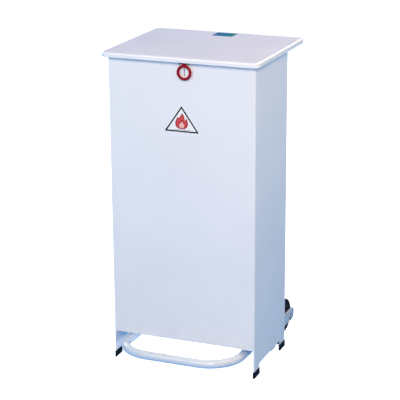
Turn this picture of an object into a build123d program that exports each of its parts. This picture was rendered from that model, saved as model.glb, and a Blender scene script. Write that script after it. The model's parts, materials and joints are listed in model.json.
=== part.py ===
from build123d import *
import math
import os

# Pedal-operated sack bin in folded sheet steel, with a hinged lid and a pair of tipping wheels.
# Millimetres. +Z is up, the front faces -Y, and the origin is on the floor under the middle
# of the bin's overall length and width.

# ---- body -------------------------------------------------------------------------------
HEIGHT = 800.0            # floor to the lid's top face
BODY_WIDTH = 380.0
BODY_FRONT_Y = -118.0
BODY_BACK_Y = 114.0
SHEET = 1.2               # steel sheet
BEND_R = 3.5              # outer radius of the body's vertical bends
RIM_Z = 786.0             # top edge of the body
FRONT_HEM_Z = 74.0        # bottom edge of the front panel
SIDE_HEM_Z = 28.0         # bottom edge of the side panels
SIDE_HEM_R = 8.0          # where a side panel's bottom edge meets a leg
REAR_FLANGE = 22.0        # width of the flanges that turn in at the back
BACK_RIVET_X = 176.0      # the two rows of rivets down the back
BACK_RIVET_HEIGHTS = [120.0 + 128.0 * i for i in range(6)]
FRONT_LEG = 36.0          # how far each front leg runs back along the side
REAR_LEG = 40.0           # how far each rear leg runs forward along the side
LEG_FRONT_FACE = 2.0      # width of a front leg's front face
FLOOR_Z = 84.0            # underside of the inner floor
FLOOR_FLANGE = 15.0
RIM_WIDTH = 14.0
RIM_DEPTH = 12.0
RIM_CORNER_R = 3.0

# ---- feet -------------------------------------------------------------------------------
CAP_HEIGHT = 17.0
CAP_WALL = 1.5
CAP_BASE = 2.5

# ---- keeper slot and labels -----------------------------------------------------------
SLOT_X, SLOT_Z = 10.0, 762.5
SLOT_WIDTH, SLOT_LENGTH = 2.0, 20.0
LABEL_X, LABEL_BASE_Z = 2.0, 614.5
LABEL_WIDTH, LABEL_HEIGHT = 92.0, 66.0      # to the sharp corners, before rounding
LABEL_CORNER_R = 2.5
LABEL_THICK = 0.3
LID_LABEL_Y = 172.0
LID_LABEL_SIZE = (54.0, 42.0)

# ---- lid --------------------------------------------------------------------------------
LID_WIDTH = 406.0
LID_FRONT_Y = -137.0
LID_BACK_Y = 207.0
LIP = 12.0
LID_CORNER_R = 18.0
LID_EDGE_R = 5.0
STIFFENER_DEPTH = 6.0
BUFFER_R = 6.0
BUFFER_GAP = 0.2          # between a buffer and the rim with the lid shut

# ---- lid hinge and lift linkage -----------------------------------------------------
HINGE_Y, HINGE_Z = 182.0, 778.0
HINGE_SHAFT_R = 4.0
HINGE_BRACKET_X = 108.0   # inner face of each hinge bracket's arm
HINGE_RIVET_X = 127.0
HINGE_RIVET_HEIGHTS = (706.0, 752.0)
PLATE = 3.0               # bracket plate
LUG_PLATE = 4.0
EYE_R = 9.0
LID_OPEN = 72.0           # degrees
CRANK_R = 18.0            # hinge axis to the rod's upper end, with the lid shut
CRANK_EYE_R = 16.0        # hinge axis to the centre of the oversize eye round it
ROD_R = 4.0
ROD_RUN_X = 14.0
ROD_TAIL_X = -7.5
ROD_BEND_R = 10.0
ROD_EYE_R = 7.0           # oversize, because the rod's end wanders 2 mm about the eye's centre
RUNNING = 0.05            # radial clearance of a running fit

# ---- pedal ------------------------------------------------------------------------------
TUBE_R = 11.0
TUBE_BORE_R = 9.4
PEDAL_ARM_X = 153.5
PEDAL_BAR_Y = -197.5
PEDAL_BEND_R = 86.0
PEDAL_END_Y = 97.0
PEDAL_TILT = 2.2          # degrees that the pedal slopes up towards the front at rest
PIVOT_Y, PIVOT_Z = 28.0, 47.0
PEDAL_SHAFT_R = 5.0
BUSH_R = 6.5
BUSH_FLANGE_R = 9.0
LEVER_Y = 144.1           # rod's lower eye, with the pedal level
CROSS_BAR_Y = 84.0
CROSS_BAR_SIZE = 20.0
CROSS_BAR_BORE = 16.8

# ---- wheels -----------------------------------------------------------------------------
WHEEL_R = 45.0
WHEEL_WIDTH = 18.0
WHEEL_X = 166.0
WHEEL_Y = PEDAL_BAR_Y * -1 + TUBE_R - WHEEL_R
WHEEL_Z = 62.0
HUB_R = 29.0
AXLE_R = 5.0
WHEEL_RIVET_X = 179.0
WHEEL_RIVET_HEIGHTS = (59.0, 76.0)
WHEEL_PLATE_HEIGHT = 31.0
WHEEL_PLATE_Z = 67.5      # middle of the plate's height
WHEEL_PLATE_TIP_Y = 190.0

# ---- hand ring ----------------------------------------------------------------------
RING_X, RING_Y = 12.0, -124.0
RING_PIVOT_Z = 786.0
RING_CENTRE_Z = 762.5
RING_R = 19.0
RING_BAND = 6.6

MID_Y = (BODY_FRONT_Y + BODY_BACK_Y) / 2
BODY_DEPTH = BODY_BACK_Y - BODY_FRONT_Y
INNER_X = BODY_WIDTH / 2 - SHEET
INNER_FRONT_Y = BODY_FRONT_Y + SHEET
PANEL_BACK_Y = BODY_BACK_Y - SHEET          # outer face of the back panel
PANEL_FRONT_Y = PANEL_BACK_Y - SHEET        # inner face of the back panel
INNER_DEPTH = PANEL_FRONT_Y - INNER_FRONT_Y
INNER_MID_Y = (PANEL_FRONT_Y + INNER_FRONT_Y) / 2
LID_MID_Y = (LID_FRONT_Y + LID_BACK_Y) / 2
LID_DEPTH = LID_BACK_Y - LID_FRONT_Y
LID_UNDER_Z = HEIGHT - SHEET


def block(x0, x1, y0, y1, z0, z1):
    """An upright box between two corners."""
    return Pos((x0 + x1) / 2, (y0 + y1) / 2, (z0 + z1) / 2) * Box(abs(x1 - x0), abs(y1 - y0), abs(z1 - z0))


def prism(sketch, z0, z1):
    """A flat sketch at the floor, raised between two heights."""
    return Pos(0, 0, z0) * extrude(sketch, z1 - z0)


def rod_x(radius, x0, x1, y, z):
    """A round bar along X."""
    return Pos((x0 + x1) / 2, y, z) * Rot(0, 90, 0) * Cylinder(radius, abs(x1 - x0))


def rod_y(radius, x, y0, y1, z):
    """A round bar along Y."""
    return Pos(x, (y0 + y1) / 2, z) * Rot(90, 0, 0) * Cylinder(radius, abs(y1 - y0))


def rounded(width, depth, radius, mid_y):
    return Pos(0, mid_y) * RectangleRounded(width, depth, radius)


def side_plate(outline, x0, x1):
    """A plate in the Y-Z plane, drawn as (y, z) points, between two X positions."""
    face = Plane.YZ * make_face(Polyline(*outline, close=True))
    return Pos(x0, 0, 0) * extrude(face, x1 - x0)


def mirrored(shape):
    return mirror(shape, about=Plane.YZ)


def tilted(shape):
    """Turns a pedal piece from level to its resting slope, about the pedal's pivot."""
    to_pivot = Pos(0, PIVOT_Y, PIVOT_Z)
    return to_pivot * Rot(-PEDAL_TILT, 0, 0) * to_pivot.inverse() * shape


# ---- fasteners ------------------------------------------------------------------------
def rivet(x, y_head, z, grip):
    """A blind rivet along Y: domed head behind the plate, shank, and a tail in front."""
    head = rod_y(4.0, x, y_head, y_head + 1.6, z)
    head = fillet(head.edges().sort_by(Axis.Y)[-1], 1.2)
    shank = rod_y(2.0, x, y_head - grip, y_head, z)
    tail = rod_y(3.0, x, y_head - grip - 1.5, y_head - grip, z)
    return head + shank + tail


def back_rivets():
    """The two rows that hold the back panel to the body's rear flanges."""
    return [
        rivet(side * BACK_RIVET_X, BODY_BACK_Y, z, 2 * SHEET)
        for side in (-1, 1)
        for z in BACK_RIVET_HEIGHTS
    ]


def wheel_bracket_rivets():
    return [
        rivet(side * WHEEL_RIVET_X, BODY_BACK_Y + PLATE, z, PLATE + SHEET)
        for side in (-1, 1)
        for z in WHEEL_RIVET_HEIGHTS
    ]


def hinge_bracket_rivets():
    return [
        rivet(side * HINGE_RIVET_X, PANEL_BACK_Y + PLATE, z, PLATE + SHEET)
        for side in (-1, 1)
        for z in HINGE_RIVET_HEIGHTS
    ]


def star_washer(radius, bore, x0, x1, y, z):
    """A push-on retaining washer: a dished ring on a round bar along X."""
    return rod_x(radius, x0, x1, y, z) - rod_x(bore, x0, x1, y, z)


# ---- body pieces ------------------------------------------------------------------------
def wrap_outline():
    """The folded body seen from above: front, two sides and two rear flanges."""
    outer = rounded(BODY_WIDTH, BODY_DEPTH, BEND_R, MID_Y)
    inner = rounded(BODY_WIDTH - 2 * SHEET, BODY_DEPTH - 2 * SHEET, BEND_R - SHEET, MID_Y)
    rear_gap = Pos(0, BODY_BACK_Y) * Rectangle(BODY_WIDTH - 2 * REAR_FLANGE, 4 * SHEET)
    return outer - inner - rear_gap


def body_shell():
    shell = prism(wrap_outline(), CAP_BASE, RIM_Z)
    half_front = BODY_WIDTH / 2 - LEG_FRONT_FACE
    shell -= block(-half_front, half_front, BODY_FRONT_Y - 5, BODY_FRONT_Y + 5, 0, FRONT_HEM_Z)
    for side in (-1, 1):
        x0, x1 = side * (INNER_X - 5), side * (BODY_WIDTH / 2 + 5)
        gap = block(x0, x1, BODY_FRONT_Y + FRONT_LEG, BODY_BACK_Y - REAR_LEG, 0, SIDE_HEM_Z)
        shell -= fillet(gap.edges().filter_by(Axis.X).group_by(Axis.Z)[-1], SIDE_HEM_R)
    slot = Plane.XZ * SlotOverall(SLOT_LENGTH, SLOT_WIDTH, rotation=90)
    shell -= Pos(SLOT_X, BODY_FRONT_Y + 5, SLOT_Z) * extrude(slot, 10)
    return shell - back_rivets() - wheel_bracket_rivets()


def back_panel():
    panel = block(-183, 183, PANEL_FRONT_Y, PANEL_BACK_Y, FLOOR_Z, RIM_Z)
    return panel - back_rivets() - hinge_bracket_rivets()


def floor_pan():
    tray = rounded(2 * INNER_X, INNER_DEPTH, BEND_R - SHEET, INNER_MID_Y)
    inside = rounded(2 * INNER_X - 2 * SHEET, INNER_DEPTH - 2 * SHEET, BEND_R - 2 * SHEET, INNER_MID_Y)
    rim_z = FLOOR_Z + FLOOR_FLANGE
    pan = prism(tray, FLOOR_Z, rim_z) - prism(inside, FLOOR_Z + SHEET, rim_z)
    return pan - back_rivets()


def top_frame():
    """The rim: a channel inside the body's top edge, open underneath."""
    outer = rounded(2 * INNER_X, INNER_DEPTH, BEND_R - SHEET, INNER_MID_Y)
    mouth_x, mouth_y = 2 * (INNER_X - RIM_WIDTH), INNER_DEPTH - 2 * RIM_WIDTH
    mouth = rounded(mouth_x, mouth_y, RIM_CORNER_R, INNER_MID_Y)
    lip = rounded(mouth_x + 2 * SHEET, mouth_y + 2 * SHEET, RIM_CORNER_R + SHEET, INNER_MID_Y)
    top = prism(outer - mouth, RIM_Z - SHEET, RIM_Z)
    inner_lip = prism(lip - mouth, RIM_Z - RIM_DEPTH, RIM_Z - SHEET)
    return top + inner_lip


def sack_ring():
    """The loose wire frame that holds a sack's mouth down on the rim."""
    wire_r, corner_r = 2.5, 45.0
    half_x = INNER_X - RIM_WIDTH / 2
    half_y = INNER_DEPTH / 2 - RIM_WIDTH / 2
    path = Pos(0, INNER_MID_Y, RIM_Z + wire_r) * RectangleRounded(2 * half_x, 2 * half_y, corner_r)
    start = Plane(origin=(0, INNER_MID_Y - half_y, RIM_Z + wire_r), x_dir=(0, 1, 0), z_dir=(1, 0, 0))
    return sweep(start * Circle(wire_r), path=path.face().outer_wire())


def foot_cap(side, front):
    """An L-shaped moulded cap pushed over the lower end of a corner leg."""
    leg = FRONT_LEG if front else REAR_LEG
    face = LEG_FRONT_FACE if front else REAR_FLANGE
    corner_y = BODY_FRONT_Y if front else BODY_BACK_Y
    inward = 1 if front else -1
    grown = rounded(BODY_WIDTH + 2 * CAP_WALL, BODY_DEPTH + 2 * CAP_WALL, BEND_R + CAP_WALL, MID_Y)
    inset = SHEET + CAP_WALL
    hollow = rounded(BODY_WIDTH - 2 * inset, BODY_DEPTH - 2 * inset, BEND_R - inset, MID_Y)
    band = prism(grown - hollow, 0, CAP_HEIGHT)
    x0, x1 = side * (BODY_WIDTH / 2 + 2 * CAP_WALL), side * (BODY_WIDTH / 2 - face - CAP_WALL)
    y0, y1 = corner_y - inward * 2 * CAP_WALL, corner_y + inward * (leg + CAP_WALL)
    corner = block(min(x0, x1), max(x0, x1), min(y0, y1), max(y0, y1), 0, CAP_HEIGHT)
    cap = band & corner
    leg_shape = prism(wrap_outline(), CAP_BASE, RIM_Z)
    keep_x0, keep_x1 = side * (BODY_WIDTH / 2 + 1), side * (BODY_WIDTH / 2 - face)
    keep_y0, keep_y1 = corner_y - inward, corner_y + inward * leg
    socket = leg_shape & block(keep_x0, keep_x1, keep_y0, keep_y1, 0, RIM_Z)
    return cap - socket


def front_label():
    """A plain three-cornered sticker on the front panel."""
    half = LABEL_WIDTH / 2
    outline = Polyline((-half, 0), (half, 0), (0, LABEL_HEIGHT), close=True)
    face = make_face(outline)
    face = fillet(face.vertices(), LABEL_CORNER_R)
    return Pos(LABEL_X, BODY_FRONT_Y, LABEL_BASE_Z) * extrude(Plane.XZ * face, LABEL_THICK)


# ---- wheels -----------------------------------------------------------------------------
def wheel_bracket(side):
    """A folded plate: a foot on the rear flange, and an arm beside the wheel with a round tip."""
    tip_r = WHEEL_PLATE_HEIGHT / 2
    z0, z1 = WHEEL_PLATE_Z - tip_r, WHEEL_PLATE_Z + tip_r
    arm = block(INNER_X - PLATE, INNER_X, BODY_BACK_Y, WHEEL_PLATE_TIP_Y - tip_r, z0, z1)
    arm += rod_x(tip_r, INNER_X - PLATE, INNER_X, WHEEL_PLATE_TIP_Y - tip_r, WHEEL_PLATE_Z)
    foot = block(INNER_X - 24, INNER_X, BODY_BACK_Y, BODY_BACK_Y + PLATE, z0, z1)
    bracket = arm + foot - rod_x(AXLE_R, 0, BODY_WIDTH, WHEEL_Y, WHEEL_Z)
    if side < 0:
        bracket = mirrored(bracket)
    return bracket - wheel_bracket_rivets()


def wheel_axle():
    end = INNER_X + 3.0
    return rod_x(AXLE_R, -end, end, WHEEL_Y, WHEEL_Z)


def axle_washers():
    """Push-on washers: one outside each bracket and one inboard of each wheel."""
    hub_inner = WHEEL_X - WHEEL_WIDTH / 2 - 0.2
    outside = star_washer(10.0, AXLE_R, INNER_X, INNER_X + 1.5, WHEEL_Y, WHEEL_Z)
    inside = star_washer(10.0, AXLE_R, hub_inner - 2.0, hub_inner - 0.5, WHEEL_Y, WHEEL_Z)
    return [outside, inside, mirrored(outside), mirrored(inside)]


def wheel_hub(side):
    """A moulded wheel centre: a rim, a web, and a long boss that runs on the axle up to the bracket."""
    x0, x1 = WHEEL_X - WHEEL_WIDTH / 2, WHEEL_X + WHEEL_WIDTH / 2
    rim = rod_x(HUB_R, x0 + 1, x1 - 1, WHEEL_Y, WHEEL_Z) - rod_x(HUB_R - 3.5, x0, x1, WHEEL_Y, WHEEL_Z)
    web = rod_x(HUB_R - 3, WHEEL_X - 2, WHEEL_X + 2, WHEEL_Y, WHEEL_Z)
    boss_end = INNER_X - PLATE - 0.3
    boss = rod_x(10.0, x0, boss_end, WHEEL_Y, WHEEL_Z)
    hub = rim + web + boss - rod_x(AXLE_R + RUNNING, x0, boss_end, WHEEL_Y, WHEEL_Z)
    return hub if side > 0 else mirrored(hub)


def wheel_tyre(side):
    x0, x1 = WHEEL_X - WHEEL_WIDTH / 2, WHEEL_X + WHEEL_WIDTH / 2
    tread = rod_x(WHEEL_R, x0, x1, WHEEL_Y, WHEEL_Z)
    tread = fillet(tread.edges(), 6.0)
    bead = rod_x(HUB_R, x0 + 1, x1 - 1, WHEEL_Y, WHEEL_Z)
    recesses = [rod_x(HUB_R + 1.5, x - 1, x + 1, WHEEL_Y, WHEEL_Z) for x in (x0, x1)]
    tyre = tread - bead - recesses
    return tyre if side > 0 else mirrored(tyre)


# ---- lid --------------------------------------------------------------------------------
def lid_pan():
    """A shallow pan with a rounded top edge and a hemmed lip all round."""
    lip_z = HEIGHT - LIP
    outer = prism(rounded(LID_WIDTH, LID_DEPTH, LID_CORNER_R, LID_MID_Y), lip_z, HEIGHT)
    outer = fillet(outer.faces().sort_by(Axis.Z)[-1].edges(), LID_EDGE_R)
    inner = prism(
        rounded(LID_WIDTH - 2 * SHEET, LID_DEPTH - 2 * SHEET, LID_CORNER_R - SHEET, LID_MID_Y),
        lip_z,
        LID_UNDER_Z,
    )
    inner = fillet(inner.faces().sort_by(Axis.Z)[-1].edges(), LID_EDGE_R - SHEET)
    hem_out = rounded(LID_WIDTH - 2 * SHEET, LID_DEPTH - 2 * SHEET, LID_CORNER_R - SHEET, LID_MID_Y)
    hem_in = rounded(LID_WIDTH - 4 * SHEET, LID_DEPTH - 4 * SHEET, LID_CORNER_R - 2 * SHEET, LID_MID_Y)
    hem = prism(hem_out - hem_in, lip_z, lip_z + 7.0)
    return outer - inner + hem


def lid_stiffeners():
    """Two shallow hat channels across the lid's underside."""
    channels = []
    for y in (-50.0, 50.0):
        z0 = LID_UNDER_Z - STIFFENER_DEPTH
        crown = block(-150, 150, y - 15, y + 15, z0, LID_UNDER_Z)
        crown -= block(-160, 160, y - 15 + SHEET, y + 15 - SHEET, z0 + SHEET, LID_UNDER_Z)
        feet = block(-150, 150, y - 25, y - 15, LID_UNDER_Z - SHEET, LID_UNDER_Z)
        feet += block(-150, 150, y + 15, y + 25, LID_UNDER_Z - SHEET, LID_UNDER_Z)
        channels.append(crown + feet)
    return channels


def lid_buffers():
    """Four rubber stops that meet the corners of the rim."""
    x, front_y = INNER_X - 7.8, INNER_FRONT_Y + 7.8
    back_y = PANEL_FRONT_Y - 7.8
    z0 = RIM_Z + BUFFER_GAP
    buffers = []
    for sx in (-1, 1):
        for y in (front_y, back_y):
            stop = Pos(sx * x, y, (z0 + LID_UNDER_Z) / 2) * Cylinder(BUFFER_R, LID_UNDER_Z - z0)
            buffers.append(fillet(stop.edges().sort_by(Axis.Z)[0], 1.5))
    return buffers


def hinge_lug(side):
    """A welded lug under the lid that turns on the hinge shaft."""
    x0 = HINGE_BRACKET_X - 0.5 - LUG_PLATE
    x1 = HINGE_BRACKET_X - 0.5
    outline = [
        (HINGE_Y - 34, LID_UNDER_Z - 0.01),
        (HINGE_Y + 16, LID_UNDER_Z - 0.01),
        (HINGE_Y + EYE_R, HINGE_Z),
        (HINGE_Y, HINGE_Z - EYE_R),
        (HINGE_Y - EYE_R, HINGE_Z),
    ]
    web = side_plate(outline, x0, x1) + rod_x(EYE_R, x0, x1, HINGE_Y, HINGE_Z)
    web += block(x0 - 16, x1, HINGE_Y - 34, HINGE_Y + 16, LID_UNDER_Z - 2.0, LID_UNDER_Z)
    web -= rod_x(HINGE_SHAFT_R + RUNNING, x0 - 1, x1 + 1, HINGE_Y, HINGE_Z)
    return web if side > 0 else mirrored(web)


def crank_point(radius):
    """A point on the crank's line with the lid shut, half the lid's travel below level."""
    half = math.radians(LID_OPEN / 2)
    return HINGE_Y - radius * math.cos(half), HINGE_Z - radius * math.sin(half)


def lid_crank():
    """The central lug: one eye on the hinge shaft and an oversize eye for the lift rod."""
    x0, x1 = -LUG_PLATE / 2, LUG_PLATE / 2
    eye_y, eye_z = crank_point(CRANK_EYE_R)
    boss_r = ROD_EYE_R + 4.0
    outline = [
        (eye_y - boss_r, eye_z),
        (eye_y - boss_r, LID_UNDER_Z - 0.01),
        (HINGE_Y + EYE_R, LID_UNDER_Z - 0.01),
        (HINGE_Y + EYE_R, HINGE_Z),
        (HINGE_Y, HINGE_Z - EYE_R),
        (eye_y, eye_z - boss_r * 0.5),
    ]
    plate = side_plate(outline, x0, x1)
    plate += rod_x(EYE_R, x0, x1, HINGE_Y, HINGE_Z)
    plate += rod_x(boss_r, x0, x1, eye_y, eye_z)
    plate += block(x0 - 10, x1 + 10, eye_y - boss_r, HINGE_Y + EYE_R, LID_UNDER_Z - 2.0, LID_UNDER_Z)
    plate -= rod_x(HINGE_SHAFT_R + RUNNING, x0 - 1, x1 + 1, HINGE_Y, HINGE_Z)
    return plate - rod_x(ROD_EYE_R, x0 - 1, x1 + 1, eye_y, eye_z)


def lid_label():
    """A plain colour-code sticker near the lid's rear edge."""
    sticker = Pos(0, LID_LABEL_Y) * RectangleRounded(*LID_LABEL_SIZE, 3.0)
    return prism(sticker, HEIGHT, HEIGHT + LABEL_THICK)


def hinge_bracket(side):
    """A folded plate: a foot on the back panel, and an arm that carries the hinge shaft."""
    x0, x1 = HINGE_BRACKET_X, HINGE_BRACKET_X + PLATE
    outline = [
        (PANEL_BACK_Y, 690.0),
        (PANEL_BACK_Y + 12.0, 690.0),
        (HINGE_Y + EYE_R * 0.7, HINGE_Z - EYE_R * 0.7),
        (HINGE_Y, HINGE_Z + EYE_R),
        (HINGE_Y - 30.0, 780.0),
        (PANEL_BACK_Y, 768.0),
    ]
    arm = side_plate(outline, x0, x1) + rod_x(EYE_R, x0, x1, HINGE_Y, HINGE_Z)
    foot = block(x0, x0 + 30, PANEL_BACK_Y, PANEL_BACK_Y + PLATE, 690.0, 768.0)
    bracket = arm + foot - rod_x(HINGE_SHAFT_R, x0 - 1, x1 + 1, HINGE_Y, HINGE_Z)
    if side < 0:
        bracket = mirrored(bracket)
    return bracket - hinge_bracket_rivets()


def hinge_shaft():
    end = HINGE_BRACKET_X + PLATE + 4.0
    return rod_x(HINGE_SHAFT_R, -end, end, HINGE_Y, HINGE_Z)


def hinge_washers():
    x0 = HINGE_BRACKET_X + PLATE
    washer = star_washer(8.0, HINGE_SHAFT_R, x0, x0 + 1.2, HINGE_Y, HINGE_Z)
    return [washer, mirrored(washer)]


# ---- hand ring ----------------------------------------------------------------------
def ring_hanger():
    """A small staple riveted under the lid's front edge, with two ears for the ring's pin."""
    half, ear = 11.0, 1.5
    z0 = RING_PIVOT_Z - 3.5
    y0, y1 = RING_Y - 3.5, RING_Y + 3.5
    hanger = block(RING_X - half, RING_X + half, y0, y1, LID_UNDER_Z - 1.5, LID_UNDER_Z)
    for side in (-1, 1):
        outer = RING_X + side * half
        inner = RING_X + side * (half - ear)
        hanger += block(min(outer, inner), max(outer, inner), y0, y1, z0, LID_UNDER_Z)
    return hanger - rod_x(1.5, RING_X - 20, RING_X + 20, RING_Y, RING_PIVOT_Z)


def ring_pin():
    return rod_x(1.5, RING_X - 12.0, RING_X + 12.0, RING_Y, RING_PIVOT_Z)


def pull_ring():
    """A moulded ring with a short neck and a barrel that turns on the pin."""
    mid_r = RING_R - RING_BAND / 2
    ring = Pos(RING_X, RING_Y, RING_CENTRE_Z) * Rot(90, 0, 0) * Torus(mid_r, RING_BAND / 2)
    neck = block(RING_X - 6, RING_X + 6, RING_Y - 2, RING_Y + 2, RING_CENTRE_Z + mid_r, RING_PIVOT_Z)
    barrel = rod_x(3.2, RING_X - 9, RING_X + 9, RING_Y, RING_PIVOT_Z)
    return ring + neck + barrel - rod_x(1.5 + RUNNING, RING_X - 10, RING_X + 10, RING_Y, RING_PIVOT_Z)


# ---- pedal ------------------------------------------------------------------------------
def pedal_route():
    x, y1 = PEDAL_ARM_X, PEDAL_END_Y
    return FilletPolyline(
        (x, y1, PIVOT_Z),
        (x, PEDAL_BAR_Y, PIVOT_Z),
        (-x, PEDAL_BAR_Y, PIVOT_Z),
        (-x, y1, PIVOT_Z),
        radius=PEDAL_BEND_R,
    )


def pedal_solid(radius):
    start = Plane(origin=(PEDAL_ARM_X, PEDAL_END_Y, PIVOT_Z), x_dir=(1, 0, 0), z_dir=(0, -1, 0))
    return sweep(start * Circle(radius), path=pedal_route())


def pedal_tube():
    """The U-shaped foot loop, drilled for the pivot bushes."""
    tube = pedal_solid(TUBE_R) - pedal_solid(TUBE_BORE_R)
    tube -= rod_x(BUSH_R, -BODY_WIDTH / 2, BODY_WIDTH / 2, PIVOT_Y, PIVOT_Z)
    return tilted(tube)


def pedal_bushes():
    """A flanged nylon bush through each arm."""
    bushes = []
    for side in (-1, 1):
        x = side * PEDAL_ARM_X
        bush = rod_x(BUSH_R, x - TUBE_R, x + TUBE_R, PIVOT_Y, PIVOT_Z)
        for face in (-1, 1):
            edge = x + face * TUBE_R
            bush += rod_x(BUSH_FLANGE_R, edge, edge + face * 1.0, PIVOT_Y, PIVOT_Z)
        bushes.append(bush - rod_x(PEDAL_SHAFT_R + RUNNING, x - 20, x + 20, PIVOT_Y, PIVOT_Z))
    return bushes


def pedal_cross_bar():
    """The square tube that joins the two arms behind the pivot."""
    profile = Rectangle(CROSS_BAR_SIZE, CROSS_BAR_SIZE) - Rectangle(CROSS_BAR_BORE, CROSS_BAR_BORE)
    bar = Pos(-PEDAL_ARM_X, CROSS_BAR_Y, PIVOT_Z) * extrude(Plane.YZ * profile, 2 * PEDAL_ARM_X)
    for side in (-1, 1):
        bar -= rod_y(TUBE_R, side * PEDAL_ARM_X, 0, 150, PIVOT_Z)
    return tilted(max(bar.solids(), key=lambda s: s.volume))


def pedal_lever():
    """The plate that runs back from the cross bar to the lift rod."""
    x0, x1 = -LUG_PLATE / 2, LUG_PLATE / 2
    front_y = CROSS_BAR_Y + CROSS_BAR_SIZE / 2
    lever = block(x0, x1, front_y, LEVER_Y, PIVOT_Z - EYE_R, PIVOT_Z + EYE_R)
    lever += rod_x(EYE_R, x0, x1, LEVER_Y, PIVOT_Z)
    lever -= rod_x(ROD_R + RUNNING, x0 - 1, x1 + 1, LEVER_Y, PIVOT_Z)
    return tilted(lever)


def pedal_plugs():
    """Moulded plugs in the open rear ends of the two arms."""
    plugs = []
    for side in (-1, 1):
        x = side * PEDAL_ARM_X
        plug = rod_y(TUBE_BORE_R, x, PEDAL_END_Y - 12, PEDAL_END_Y, PIVOT_Z)
        head = rod_y(TUBE_R, x, PEDAL_END_Y, PEDAL_END_Y + 3, PIVOT_Z)
        head = fillet(head.edges().sort_by(Axis.Y)[-1], 2.0)
        plugs.append(tilted(plug + head))
    return plugs


def pedal_shaft():
    return rod_x(PEDAL_SHAFT_R, -INNER_X + PLATE, INNER_X - PLATE, PIVOT_Y, PIVOT_Z)


def pedal_bracket(side):
    """A stirrup welded inside the side panel: two webs joined by a bridge below the shaft."""
    y0, y1 = PIVOT_Y - 15, PIVOT_Y + 15
    z0, z1 = 23.5, 66.0
    inner_x = PEDAL_ARM_X + TUBE_R + 2.0
    outer_web = block(INNER_X - PLATE, INNER_X, y0, y1, z0, z1)
    inner_web = block(inner_x, inner_x + PLATE, y0, y1, z0, z1)
    bridge = block(inner_x, INNER_X, y0, y1, z0, z0 + PLATE)
    stirrup = outer_web + inner_web + bridge
    stirrup -= rod_x(PEDAL_SHAFT_R, inner_x - 1, INNER_X - PLATE, PIVOT_Y, PIVOT_Z)
    return stirrup if side > 0 else mirrored(stirrup)


def pedal_shaft_washers():
    x0 = PEDAL_ARM_X + TUBE_R + 2.0 + PLATE
    washer = star_washer(10.0, PEDAL_SHAFT_R, x0, x0 + 1.5, PIVOT_Y, PIVOT_Z)
    return [washer, mirrored(washer)]


# ---- lift rod -----------------------------------------------------------------------
def rod_foot():
    """Where the rod's lower end sits in the pedal's lever with the pedal at rest."""
    tilt = math.radians(PEDAL_TILT)
    reach = LEVER_Y - PIVOT_Y
    return PIVOT_Y + reach * math.cos(tilt), PIVOT_Z - reach * math.sin(tilt)


def lift_rod():
    """A bright bar up the back of the body, with both ends turned in through their eyes."""
    foot_y, foot_z = rod_foot()
    top_y, top_z = crank_point(CRANK_R)
    route = FilletPolyline(
        (ROD_TAIL_X, foot_y, foot_z),
        (ROD_RUN_X, foot_y, foot_z),
        (ROD_RUN_X, top_y, top_z),
        (ROD_TAIL_X, top_y, top_z),
        radius=ROD_BEND_R,
    )
    start = Plane(origin=(ROD_TAIL_X, foot_y, foot_z), x_dir=(0, 1, 0), z_dir=(1, 0, 0))
    return sweep(start * Circle(ROD_R), path=route)


def rod_washers():
    x1 = -LUG_PLATE / 2 - 1.0
    places = [rod_foot(), crank_point(CRANK_R)]
    return [star_washer(8.5, ROD_R, x1 - 1.2, x1, y, z) for y, z in places]


def pieces():
    """Every sub-part, by the name it's stored under."""
    parts = {
        "body_shell": body_shell(),
        "back_panel": back_panel(),
        "floor_pan": floor_pan(),
        "top_frame": top_frame(),
        "sack_ring": sack_ring(),
        "back_panel_rivets": back_rivets(),
        "wheel_bracket_rivets": wheel_bracket_rivets(),
        "hinge_bracket_rivets": hinge_bracket_rivets(),
        "front_label": front_label(),
        "wheel_axle": wheel_axle(),
        "axle_washers": axle_washers(),
        "hinge_shaft": hinge_shaft(),
        "hinge_shaft_washers": hinge_washers(),
        "pedal_shaft": pedal_shaft(),
        "pedal_shaft_washers": pedal_shaft_washers(),
        "lid_pan": lid_pan(),
        "lid_stiffeners": lid_stiffeners(),
        "lid_buffers": lid_buffers(),
        "lid_crank": lid_crank(),
        "lid_label": lid_label(),
        "ring_hanger": ring_hanger(),
        "ring_pin": ring_pin(),
        "pull_ring": pull_ring(),
        "pedal_tube": pedal_tube(),
        "pedal_bushes": pedal_bushes(),
        "pedal_cross_bar": pedal_cross_bar(),
        "pedal_lever": pedal_lever(),
        "pedal_end_plugs": pedal_plugs(),
        "lift_rod": lift_rod(),
        "lift_rod_washers": rod_washers(),
    }
    for name, side in (("left", -1), ("right", 1)):
        parts["foot_cap_front_" + name] = foot_cap(side, True)
        parts["foot_cap_rear_" + name] = foot_cap(side, False)
        parts["wheel_bracket_" + name] = wheel_bracket(side)
        parts["wheel_hub_" + name] = wheel_hub(side)
        parts["wheel_tyre_" + name] = wheel_tyre(side)
        parts["hinge_bracket_" + name] = hinge_bracket(side)
        parts["lid_hinge_lug_" + name] = hinge_lug(side)
        parts["pedal_bracket_" + name] = pedal_bracket(side)
    return parts


os.makedirs("parts", exist_ok=True)
for node, shape in pieces().items():
    solids = shape if isinstance(shape, list) else [shape]
    export_step(Compound(children=solids) if len(solids) > 1 else solids[0], f"parts/{node}.step")
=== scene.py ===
import json
import math

import bmesh
import bpy
from mathutils import Matrix, Vector


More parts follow.
